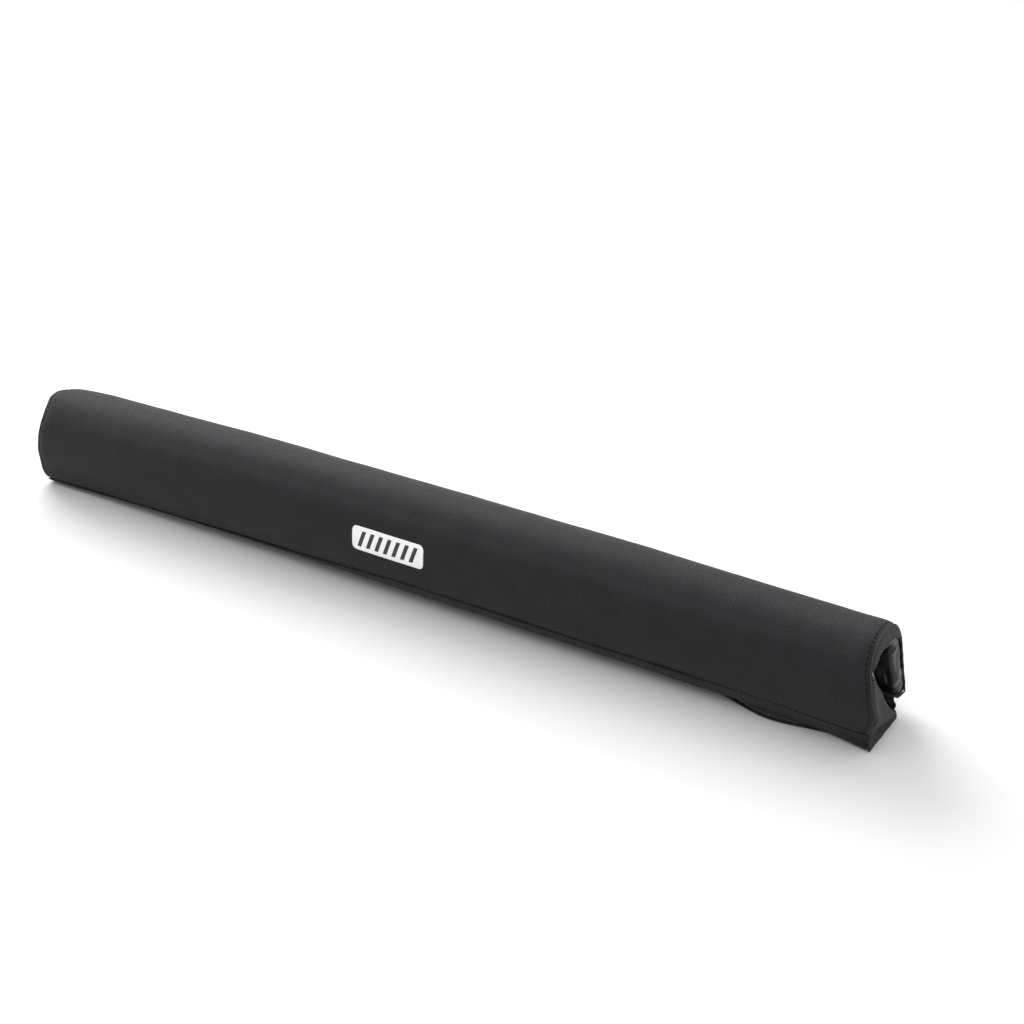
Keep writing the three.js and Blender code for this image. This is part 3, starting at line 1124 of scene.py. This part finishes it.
def rear_flap_line(x):
    root = back_edge_seat(x, np.linspace(flap_thickness, wall_depth, 10))
    folds = np.array(rear_folds)
    at_end = smoothstep(x, half_length - fold_reach, half_length)
    crease = stack_crease + (end_stack_crease - stack_crease) * at_end
    folds[2:-1, 0] -= end_folds_in * at_end
    folds[-1, 0] = crease
    run = bulged(x, stack_run(x, rear_level, flap_thickness, stack_front(x) + rear_setback, crease))[::-1]
    return rounded(np.concatenate([root, folds, run]), 0.0012)


def rear_flap_ripples(along, across):
    """Crumples between the sewn edge and the stack."""
    loose = smoothstep(across, 0.010, 0.018) * (1 - smoothstep(across, 0.040, 0.050))
    broad_crumples = 0.0009 * ripple(along, across * 1.2, 0.024, 5.5)
    fine_crumples = 0.0003 * ripple(along, across, 0.009, 1.9)
    return loose * (broad_crumples + fine_crumples)


rear_flap = strip(
    "rear_flap_cloth", half_length, flap_columns, 110, rear_flap_line, flap_thickness, rear_flap_ripples,
)
rear_flap.data.materials.append(flap_look)
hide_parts("rear_flap")
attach(rear_flap, "root")

# Closure tapes
# Woven nylon tapes, sewn to the flaps' facing sides: fuzzy loops above, stiff little hooks below.
tape_inset = 0.004
tape_width = 0.020
loop_setback = 0.0066
hook_setback = 0.0040
tape_colour = (0.016, 0.016, 0.018, 1)


def tape_line(level, setback):
    def line_at(x):
        front = stack_front(x) + setback
        return bulged(x, stack_run(x, level, tape_thickness, front, front + tape_width))
    return line_at


tape_look = material("hook and loop", tape_colour, 0.95, Sheen_Weight=0.5)
roughen(tape_look, "TexVoronoi", "Distance", 0.0005, on_uv=True, Scale=1100)
for name, node, level, setback in (
    ("loop_tape_strip", "loop_tape", loop_level, loop_setback),
    ("hook_tape_strip", "hook_tape", hook_level, hook_setback),
):
    tape = strip(name, half_length - tape_inset, 160, 16, tape_line(level, setback), tape_thickness)
    tape.data.materials.append(tape_look)
    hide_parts(node)
    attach(tape, "root")

# Printed mark
# A thin white film pressed on the cover's front, with a plain pattern of slanted bars left open in it.
# The openings are a dark colour in the film's material.
mark_length = 0.063
mark_height = 0.019
mark_corner = 0.004
mark_centre = -0.0065
mark_level = 0.047
mark_film = 0.00012
mark_lift = 0.00018
mark_columns = 90
mark_rows = 30
bar_slant = 0.35
bar_pitch = 0.0076
bar_share = 0.45
bar_offset = 20
frame_width = 0.0032
side_frame = frame_width * 1.6
mark_white = (0.86, 0.86, 0.87, 1)
bar_black = (0.020, 0.020, 0.023, 1)


def front_angle(height):
    share = (height - half_height) / half_height
    sine = np.sign(share) * np.abs(share) ** (section_power / 2)
    return 180 - np.degrees(np.arcsin(sine))


mark_points = []
mark_lengths = []
for share in np.linspace(-1, 1, mark_columns):
    turned = math.sin(share * math.pi / 2) * 0.25 + share * 0.75
    x = mark_length / 2 * turned
    into = max(abs(x) - mark_length / 2 + mark_corner, 0)
    cut = mark_corner - math.sqrt(max(mark_corner ** 2 - into ** 2, 0))
    half = mark_height / 2 - cut
    heights = np.linspace(-half, half, mark_rows)
    angles = front_angle(mark_level + heights)
    placed = place(x + mark_centre, wall(x + mark_centre, angles, 0))
    mark_points.append(on_cover(placed, facing_out(x + mark_centre, angles), mark_lift))
    mark_lengths.append(np.stack([np.full(mark_rows, x), heights], 1))
mark = cloth_grid("mark_film", np.array(mark_points), np.array(mark_lengths))
apply_modifier(mark, "SOLIDIFY", thickness=mark_film, offset=0)

mark_look = material("print film", mark_white, 0.45)
mark_tree = mark_look.node_tree
mark_split = add_node(mark_tree, "SeparateXYZ", {0: add_node(mark_tree, "UVMap").outputs["UV"]})
film_x, film_y = mark_split.outputs[0], mark_split.outputs[1]


def within(place_on_film, limit):
    """Where a place on the film is nearer to its middle than a limit."""
    return maths(mark_tree, "LESS_THAN", maths(mark_tree, "ABSOLUTE", place_on_film), limit)


slanted = maths(mark_tree, "MULTIPLY_ADD", film_y, -bar_slant, film_x)
passed = maths(mark_tree, "MULTIPLY_ADD", slanted, 1 / bar_pitch, bar_offset + bar_share / 2)
bar = maths(mark_tree, "LESS_THAN", maths(mark_tree, "FRACT", passed), bar_share)
inside_x = within(slanted, mark_length / 2 - side_frame)
inside_y = within(film_y, mark_height / 2 - frame_width)
open_bar = maths(mark_tree, "MULTIPLY", bar, maths(mark_tree, "MULTIPLY", inside_x, inside_y))
film = add_node(mark_tree, "Mix", {"Factor": open_bar, "A": mark_white, "B": bar_black}, data_type="RGBA")
into_shader(mark_look, "Base Color", film.outputs["Result"])
mark.data.materials.append(mark_look)
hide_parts("printed_mark")
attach(mark, "root")

# Studio
# A pale floor, soft light from above and from behind, and a camera at the photograph's viewing angle.
floor_size = 14
floor_grey = (0.62, 0.62, 0.62, 1)
eye = Vector((0.58083, -0.85710, 0.60846))
azimuth = math.radians(30.437)
elevation = math.radians(27.841)
roll = math.radians(-0.816)
focal_pixels = 1579.811
frame_pixels = 1024
sensor = 36

deselect()
bpy.ops.mesh.primitive_plane_add(size=floor_size, location=(0, 0, 0))
floor = bpy.context.object
floor.name = "studio_floor"
floor.data.materials.append(material("pale floor", floor_grey, 0.9))

world = bpy.data.worlds.new("studio")
bpy.context.scene.world = world
world.use_nodes = True
sky = world.node_tree.nodes["Background"].inputs
sky["Color"].default_value = (1, 1, 1, 1)
sky["Strength"].default_value = 0.85


def softbox(name, place_at, width, depth, watts):
    bpy.ops.object.light_add(type="AREA", location=place_at)
    light = bpy.context.object
    light.name = name
    light.data.shape = "RECTANGLE"
    light.data.size = width
    light.data.size_y = depth
    light.data.energy = watts
    light.rotation_euler = (-Vector(place_at)).to_track_quat("-Z", "Y").to_euler()


softbox("back_softbox", (-1.8, 1.4, 1.4), 2.2, 1.6, 105)
softbox("top_softbox", (0.0, -0.2, 2.6), 4.0, 4.0, 50)

forward = Vector((
    -math.sin(azimuth) * math.cos(elevation),
    math.cos(azimuth) * math.cos(elevation),
    -math.sin(elevation),
))
level_right = forward.cross(Vector((0, 0, 1))).normalized()
level_down = forward.cross(level_right)
right = level_right * math.cos(roll) + level_down * math.sin(roll)
down = level_down * math.cos(roll) - level_right * math.sin(roll)
bpy.ops.object.camera_add()
camera = bpy.context.object
camera.name = "photo_camera"
turn = Matrix((right, -down, -forward)).transposed().to_4x4()
camera.matrix_world = Matrix.Translation(eye) @ turn
camera.data.sensor_width = sensor
camera.data.lens = sensor * focal_pixels / frame_pixels
bpy.context.scene.camera = camera
bpy.context.scene.view_settings.view_transform = "Standard"
